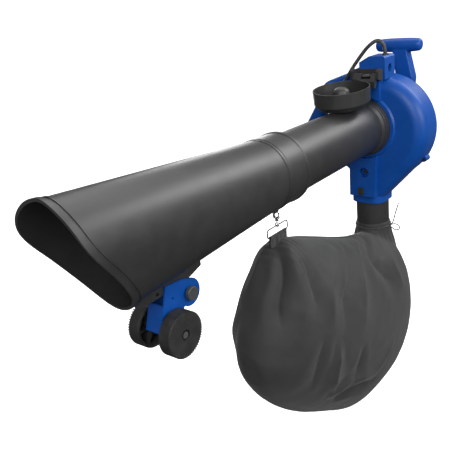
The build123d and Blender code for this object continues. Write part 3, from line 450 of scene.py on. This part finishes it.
skinned = add(grip_tree, "GeometryNodeSetMaterial", {"Geometry": solid.outputs[0], "Material": given.outputs["Skin"]})
grip_tree.links.new(skinned.outputs[0], result.inputs[0])
MIDDLE_Y = 0.030    # the tube's and the bag's middle plane
TREAD_HALF = 0.0112
for side in ("left", "right"):
    low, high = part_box("wheel_" + side)
    middle = high.y - TREAD_HALF if high.y + low.y > 2 * MIDDLE_Y else low.y + TREAD_HALF
    grips = grown("tread_grips_" + side, grip_tree, bpy.data.meshes.new("seed"), Count=56, Radius=0.03612,
                  Width=0.0229, Skin=wheel_skin)
    grips.transform(Matrix.Translation(((low.x + high.x) / 2, middle, (low.z + high.z) / 2)))
    piece("tread_grips_" + side, grips, side + "_wheel", wheel_skin)

# The collection bag is two panels of coated woven polyester sewn round their edge with a bound seam. It hangs from
# the outlet pipe by its drawstring neck and from a webbing tab, and folds run down from both.
# Each station of the bag has its x, top, bottom and half width, in mm.
STATIONS = [(-597, -490, -543, 4), (-593, -478, -555, 30), (-573, -425, -588, 54), (-534, -356, -634, 78),
            (-476, -298, -684, 95), (-386, -324, -740, 105), (-298, -358, -788, 108), (-209, -390, -800, 107),
            (-125, -410, -790, 101), (-68, -428, -758, 86), (-34, -466, -690, 62), (-17, -512, -618, 30),
            (-13, -528, -602, 4)]
# Each row of the neck has its drop below the neck's top and its radius, in mm. The pipe goes 30 mm into it.
PIPE_IN_NECK = 0.030
NECK = [(0, 39.6), (6, 40.2), (11, 39.4), (17, 40.8), (26, 42.5), (38, 45.0), (52, 50.0), (80, 56.0)]
# The folds: height and half width in mm, where a minus sign is a valley, then points along it in mm.
FOLDS = [
    (-7.5, 11, [(-481, 32, -301), (-516, -1, -343), (-548, -8, -396), (-558, -21, -436)]),
    (6.5, 14, [(-483, 2, -310), (-502, -27, -356), (-517, -41, -407), (-535, -43, -451)]),
    (-6.5, 12, [(-471, -30, -339), (-479, -40, -363), (-479, -52, -396), (-478, -62, -450)]),
    (5, 12, [(-491, 50, -311), (-526, 54, -350), (-545, 63, -388)]),
    (6, 15, [(-360, -15, -360), (-418, -52, -388), (-444, -60, -410), (-452, -66, -480)]),
    (-6, 15, [(-299, -12, -375), (-356, -51, -415), (-395, -64, -437), (-415, -70, -500)]),
    (-7.5, 13, [(-169, 14, -404), (-220, -37, -428), (-200, -58, -470), (-168, -61, -501)]),
    (6, 16, [(-111, -2, -423), (-147, -47, -470), (-131, -65, -532)]),
    (6.5, 15, [(-223, 6, -390), (-289, -38, -408), (-324, -63, -460), (-350, -72, -530)]),
    (7, 13, [(-439, -70, -527), (-444, -62, -580), (-439, -45, -640)]),
    (-6, 14, [(-485, -63, -490), (-500, -55, -545), (-506, -39, -595)]),
    (-8.5, 10, [(-415, -41, -667), (-352, -57, -673), (-253, -59, -704)]),
    (6.5, 12, [(-439, -45, -640), (-380, -62, -636), (-285, -68, -665)]),
    (-5, 10, [(-590, 40, -500), (-565, 0, -520), (-530, -30, -540)]),
    (-5, 13, [(-355, -76, -571), (-364, -69, -619), (-390, -57, -645)]),
    (5, 12, [(-213, -75, -632), (-261, -72, -651), (-305, -68, -659)]),
    (-7.5, 13, [(-470, 60, -320), (-500, 95, -380), (-520, 105, -460)]),
    (7, 16, [(-440, 60, -330), (-440, 110, -400), (-430, 125, -500)]),
    (-7.5, 14, [(-100, 75, -420), (-130, 110, -480), (-170, 125, -570)]),
    (6, 14, [(-60, 70, -440), (-70, 100, -520), (-90, 105, -610)]),
    (-6, 17, [(-300, 80, -390), (-310, 125, -480), (-330, 130, -600)]),
    (-7, 12, [(-250, 120, -700), (-330, 115, -680), (-420, 110, -650)]),
    (6, 14, [(-560, 90, -430), (-540, 105, -500), (-500, 110, -580)]),
]


def through(rows, steps):
    """A smooth line through the rows, steps points to each gap."""
    padded = np.vstack([2 * rows[0] - rows[1], rows, 2 * rows[-1] - rows[-2]])
    out = []
    for i in range(1, len(padded) - 2):
        p0, p1, p2, p3 = padded[i - 1:i + 3]
        for t in np.arange(steps) / steps:
            out.append(0.5 * (2 * p1 + (p2 - p0) * t + (2 * p0 - 5 * p1 + 4 * p2 - p3) * t * t
                              + (3 * p1 - p0 - 3 * p2 + p3) * t ** 3))
    out.append(rows[-1])
    return np.array(out)


def push_folds(at, normals):
    """Moves points in or out along their normals by the folds near them."""
    move = np.zeros(len(at))
    for rise, half, line in FOLDS:
        way = through(np.array(line, float) / 1000, 6)
        best = np.full(len(at), 9.0)
        along = np.zeros(len(at))
        for i, (a, b) in enumerate(zip(way, way[1:])):
            run = b - a
            t = np.clip(((at - a) @ run) / (run @ run), 0, 1)
            gap = np.linalg.norm(at - (a + t[:, None] * run), axis=1)
            nearer = gap < best
            best[nearer] = gap[nearer]
            along[nearer] = (i + t[nearer]) / (len(way) - 1)
        fade = np.clip(np.minimum(along + 0.15, 1.05 - along) / 0.35, 0, 1)
        wide = half / 1000 * (0.7 + 0.9 * along)
        sharp = np.exp(-np.sqrt((best / wide) ** 2 + 0.03) * 1.5 + 0.26)
        move += rise / 1000 * fade * (sharp - 0.3 * np.exp(-((best - 2.1 * wide) / wide) ** 2))
    return at + normals * move[:, None]


def soft_noise(at, scale, seed):
    """Smooth wandering values from a few crossing waves."""
    rng = np.random.default_rng(seed)
    value = np.zeros(len(at))
    for _ in range(7):
        way = rng.normal(size=3)
        value += np.sin(at @ (way / np.linalg.norm(way)) * scale * rng.uniform(0.6, 1.6) + rng.uniform(0, 6.28))
    return value / 7


def hump(values, middle, width):
    """1 at the middle, and smoothly down to 0 about two widths from it."""
    return np.exp(-((values - middle) / width) ** 2)


stations = np.array(STATIONS, float) / 1000
around = round_angles(96)
skin = skin_over([[(x, MIDDLE_Y + max(half, 0.003) * math.sin(a), (top + bottom) / 2 + (top - bottom) / 2 * math.cos(a))
                   for a in around] for x, top, bottom, half in through(stations, 8)])
pipe_low, pipe_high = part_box("outlet_pipe")
pipe = Vector(((pipe_low.x + pipe_high.x) / 2, (pipe_low.y + pipe_high.y) / 2, pipe_low.z + PIPE_IN_NECK))
skin_over([[(pipe.x + r / 1000 * math.cos(a), pipe.y + r / 1000 * math.sin(a), pipe.z - drop / 1000) for a in around]
           for drop, r in NECK], skin)
cloth = bpy.data.objects.new("collection_bag", named_mesh("bag", skin))
bpy.context.scene.collection.objects.link(cloth)
bag_mesh = remeshed(cloth, 0.0034, 6)
cloth.data = bag_mesh

# The folds fade out at the neck. Pleats go in below the tie, and gathers below the tab.
at, facing = read_points(bag_mesh)
turn_round = np.arctan2(at[:, 1] - pipe.y, at[:, 0] - pipe.x)
far = np.hypot(at[:, 1] - pipe.y, at[:, 0] - pipe.x)
free = np.maximum(np.clip((far - 0.055) / 0.05, 0, 1), np.clip((pipe.z - 0.045 - at[:, 2]) / 0.04, 0, 1))
at = push_folds(at, facing * free[:, None])
pleat = hump(at[:, 2], pipe.z - 0.034, 0.016) * (far < 0.09) * (far > 0.0385)
at = at + facing * (pleat * 0.0011 * np.sin(turn_round * 19 + np.sin(turn_round * 3) * 1.5))[:, None]
tab_low, tab_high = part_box("hang_tab")
tab_x = (tab_low.x + tab_high.x) / 2
gather = hump(at[:, 2], tab_low.z - 0.018, 0.026) * hump(at[:, 0], tab_x, 0.034)
at = at + facing * (gather * 0.0010 * np.sin((at[:, 0] - tab_x) * 560 + at[:, 1] * 60))[:, None]
slack = 0.0016 * soft_noise(at, 45, 3) + 0.0006 * soft_noise(at, 140, 8)
write_points(bag_mesh, at + free[:, None] * facing * slack[:, None])

woven = Finish("coated_polyester", Sheen_Weight=0.12, Sheen_Roughness=0.5, Specular_IOR_Level=0.3)
axes = woven.node("SeparateXYZ", 0, {}, {0: woven.place})
thread = (axes * 5200.0).sine() * (axes.output("Z") * 5200.0).sine()
slub = woven.noise(420.0, 3.0, 0.6, woven.stretched(1, 1, 0.1))
cast = woven.noise(12.0, 5.0, 0.6)
dust = woven.noise(95.0, 6.0, 0.7).between(0.55, 0.8)
polyester = woven.mix(cast.between(0.3, 0.7) * 0.6 + slub * 0.4, (0.0185, 0.0196, 0.0182), (0.030, 0.0315, 0.0296))
polyester = woven.mix(dust * 0.15, polyester, (0.055, 0.055, 0.052))
fabric = woven.wear(polyester, 0.62 + (slub - 0.5) * 0.16 + thread * 0.04,
                    woven.bump(thread * 0.35 + slub * 0.5, 0.0003, 0.7))
bag_mesh.materials.clear()
bag_mesh.materials.append(fabric)
for face in bag_mesh.polygons:
    face.use_smooth = True
    face.material_index = 0
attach(cloth, "machine")
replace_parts(cloth, "bag")

# A bound seam runs round the two panels: a strip of black webbing folded over the edge and stitched through. It
# follows the top and bottom lines of the panels, and the skin's outermost points at the hanging end.
edges = through(stations, 6)
edge_top = [(x, MIDDLE_Y, top + 0.0006) for x, top, bottom, half in edges if x > -0.500]
edge_low = [(x, MIDDLE_Y, bottom - 0.0006) for x, top, bottom, half in edges if x > -0.440]
skin_at, _ = read_points(bag_mesh)
edge_side = []
for z in np.linspace(-0.325, -0.655, 34):
    level_at = skin_at[np.abs(skin_at[:, 2] - z) < 0.004]
    edge_side.append(tuple(level_at[np.argmin(level_at @ np.array(across))]))
loop = [p for p in edge_top if abs(p[0] - pipe.x) > 0.062][::-1]
# the loop starts past its widest gap, which is the neck
start = max(range(1, len(loop)), key=lambda k: (Vector(loop[k]) - Vector(loop[k - 1])).length)
loop = np.array(loop[start:] + edge_side + edge_low + loop[:start])
for _ in range(6):
    loop[1:-1] = (loop[:-2] + 2 * loop[1:-1] + loop[2:]) / 4
holder = round_line("edge_binding", [tuple(p) for p in loop], 0.0019, kind="POLY")
binding = bpy.data.meshes.new_from_object(holder.evaluated_get(bpy.context.evaluated_depsgraph_get()))
bpy.data.objects.remove(holder)
tape = Finish("webbing_black", Sheen_Weight=0.3, Sheen_Roughness=0.4)
tape_axes = tape.node("SeparateXYZ", 0, {}, {0: tape.place})
ribs = (tape_axes * 4200.0).sine() * ((tape_axes + tape_axes.output("Z")) * 2600.0).sine()
fuzz = tape.noise(700.0, 4.0, 0.7)
webbing_black = tape.wear(tape.mix(ribs * 0.3 + fuzz * 0.5, (0.010, 0.010, 0.010), (0.034, 0.034, 0.033)),
                          0.66 + (fuzz - 0.5) * 0.2, tape.bump(ribs * 0.5 + fuzz * 0.5, 0.0004, 0.8))
piece("edge_binding", binding, "machine", webbing_black, "all")

# The hanging tab is a band of webbing folded round the lower bar of the wire loop. Both ends go down into the
# bag's hem.
bar_z = tab_high.z - 0.0028
foot = tab_low.z - 0.004
inner_r, outer_r, columns = 0.0015, 0.0029, 27
inner_side = [(inner_r * math.cos(a), bar_z + inner_r * math.sin(a)) for a in np.linspace(math.pi, 0, 13)]
outer_side = [(outer_r * math.cos(a), bar_z + outer_r * math.sin(a)) for a in np.linspace(0, math.pi, 13)]
section = [(-0.0004, foot), (-0.0004, bar_z - 0.004), *inner_side, (0.0004, bar_z - 0.004), (0.0004, foot),
           (0.0019, foot), (0.0019, bar_z - 0.0045), *outer_side, (-0.0019, bar_z - 0.0045), (-0.0019, foot)]
rings = []
for i in range(columns):
    s = i / (columns - 1)
    x = tab_low.x + 0.0006 + (tab_high.x - tab_low.x - 0.0012) * s
    sway = 0.0009 * math.sin(s * 9.0) + 0.0006 * math.sin(s * 23.0 + 1)
    rings.append([(x, MIDDLE_Y + y + sway * min(1, (bar_z - z) / 0.01) * (z < bar_z), z) for y, z in section])
tab = skin_over(rings, outward=False)
bmesh.ops.triangulate(tab, faces=[f for f in tab.faces if len(f.verts) > 4])
bmesh.ops.recalc_face_normals(tab, faces=tab.faces)
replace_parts(piece("webbing_tab", named_mesh("webbing_tab", tab), "machine", webbing_black), "hang_tab")

# The neck is drawn in by a thin braided string, tied on the near side with a knot, one bow loop and a loose end.
string_finish = Finish("braided_string", Sheen_Weight=0.2)
plait = string_finish.node("TexWave", "Fac", {"wave_type": "BANDS"},
                           {"Vector": string_finish.place, "Scale": 420.0, "Distortion": 3.0})
string_black = string_finish.wear(string_finish.mix(plait, (0.008, 0.008, 0.008), (0.045, 0.045, 0.045)),
                                  0.6 + (plait - 0.5) * 0.2, string_finish.bump(plait, 0.0004, 0.9))
STRING_R = 0.0013


def string_line(name, points, cyclic=False):
    made = round_line(name, points, STRING_R, cyclic=cyclic)
    made.data.materials.append(string_black)
    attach(made, "machine")
    return made


tie_r, tie_z = 0.0411, pipe.z - 0.011
knot = Vector((pipe.x, pipe.y - tie_r - STRING_R, tie_z))
hoop = string_line("drawstring_hoop", [(pipe.x + tie_r * math.cos(a), pipe.y + tie_r * math.sin(a), tie_z)
                                       for a in round_angles(24)], True)
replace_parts(hoop, "neck_drawstring")
end_way = [(0, 0, 0), (0, -0.0075, 0.006), (0, -0.0115, 0.020), (0, -0.0155, 0.036), (0, -0.0225, 0.058)]
loose_end = string_line("drawstring_end", [knot + Vector(p) for p in end_way])
bow_way = [(0, 0, 0), (0.001, -0.010, 0.006), (0.002, -0.022, 0.003), (0.002, -0.025, -0.006), (0.001, -0.016, -0.011),
           (0, -0.006, -0.006), (0, -0.0005, -0.001)]
bow = string_line("drawstring_bow", [knot + Vector(p) for p in bow_way])
lump = bmesh.new()
bmesh.ops.create_icosphere(lump, subdivisions=4, radius=0.0027)
for v in lump.verts:
    d = v.co.normalized()
    v.co *= 1 + 0.16 * math.sin(6 * d.x + 4 * d.z) + 0.10 * math.sin(11 * d.y + 5 * d.z)
    v.co += knot
piece("drawstring_knot", named_mesh("drawstring_knot", lump), "machine", string_black, "all")

# A pale floor lies just under the bag. It is out of sight of bounced and mirrored light, so that it doesn't
# light the machine from below.
paper = Finish("floor_paper", Roughness=0.95, Specular_IOR_Level=0.0, Emission_Color=(1, 1, 1, 1),
               Emission_Strength=0.95)
fibre = paper.noise(30.0, 3.0)
paper_white = paper.wear(paper.mix(fibre, (0.86, 0.86, 0.86), (0.90, 0.90, 0.90)))
floor_z, floor_half = cad_box[0].z - 0.001, 60
floor_mesh = bpy.data.meshes.new("floor")
floor_mesh.from_pydata([(x * floor_half, y * floor_half, floor_z) for x, y in ((-1, -1), (1, -1), (1, 1), (-1, 1))],
                       [], [(0, 1, 2, 3)])
floor_mesh.materials.append(paper_white)
floor = bpy.data.objects.new("floor", floor_mesh)
bpy.context.scene.collection.objects.link(floor)
floor.visible_diffuse = False
floor.visible_glossy = False

# The sky is white to the camera. To everything else it is a dim dome that brightens from below to above.
scene = bpy.context.scene
scene.view_settings.view_transform = "Standard"
world = bpy.data.worlds.new("studio")
world.use_nodes = True
made_node, link = world.node_tree.nodes.new, world.node_tree.links.new
sky = world.node_tree.nodes["Background"]
sky.inputs["Color"].default_value = (1, 1, 1, 1)
seen = made_node("ShaderNodeLightPath")
gaze = made_node("ShaderNodeTexCoord")
split = made_node("ShaderNodeSeparateXYZ")
dome = made_node("ShaderNodeMapRange")
for socket, value in (("From Min", -0.5), ("From Max", 0.9), ("To Min", 0.10), ("To Max", 0.42)):
    dome.inputs[socket].default_value = value
shine = made_node("ShaderNodeMix")
shine.inputs["B"].default_value = 1.1
link(gaze.outputs["Generated"], split.inputs[0])
link(split.outputs["Z"], dome.inputs[0])
link(dome.outputs[0], shine.inputs["A"])
link(seen.outputs["Is Camera Ray"], shine.inputs[0])
link(shine.outputs[0], sky.inputs["Strength"])
scene.world = world

# Five soft area lights: two from above, two on the near side, and a weak strip behind that draws the edges.
# Each has its name, place, width and height, and power in watts.
LIGHTS = [("over_back", (1.15, -0.85, 1.2), (1.2, 1.2), 30),
          ("over_top", (0.4, 0.5, 1.9), (1.4, 0.9), 16),
          ("near_left", (-2.3, -1.0, 0.9), (1.0, 1.3), 38),
          ("near_side", (-0.6, -2.3, 0.7), (1.4, 1.0), 42),
          ("rim_strip", (0.9, 1.3, 0.2), (0.4, 1.6), 9)]
aim = Vector((-0.50, 0.03, -0.20))
for name, place, size, power in LIGHTS:
    light = bpy.data.lights.new(name, "AREA")
    light.shape = "RECTANGLE"
    light.size, light.size_y = size
    light.energy = power
    holder = bpy.data.objects.new(name, light)
    holder.location = place
    holder.rotation_euler = (aim - Vector(place)).to_track_quat("-Z", "Y").to_euler()
    scene.collection.objects.link(holder)
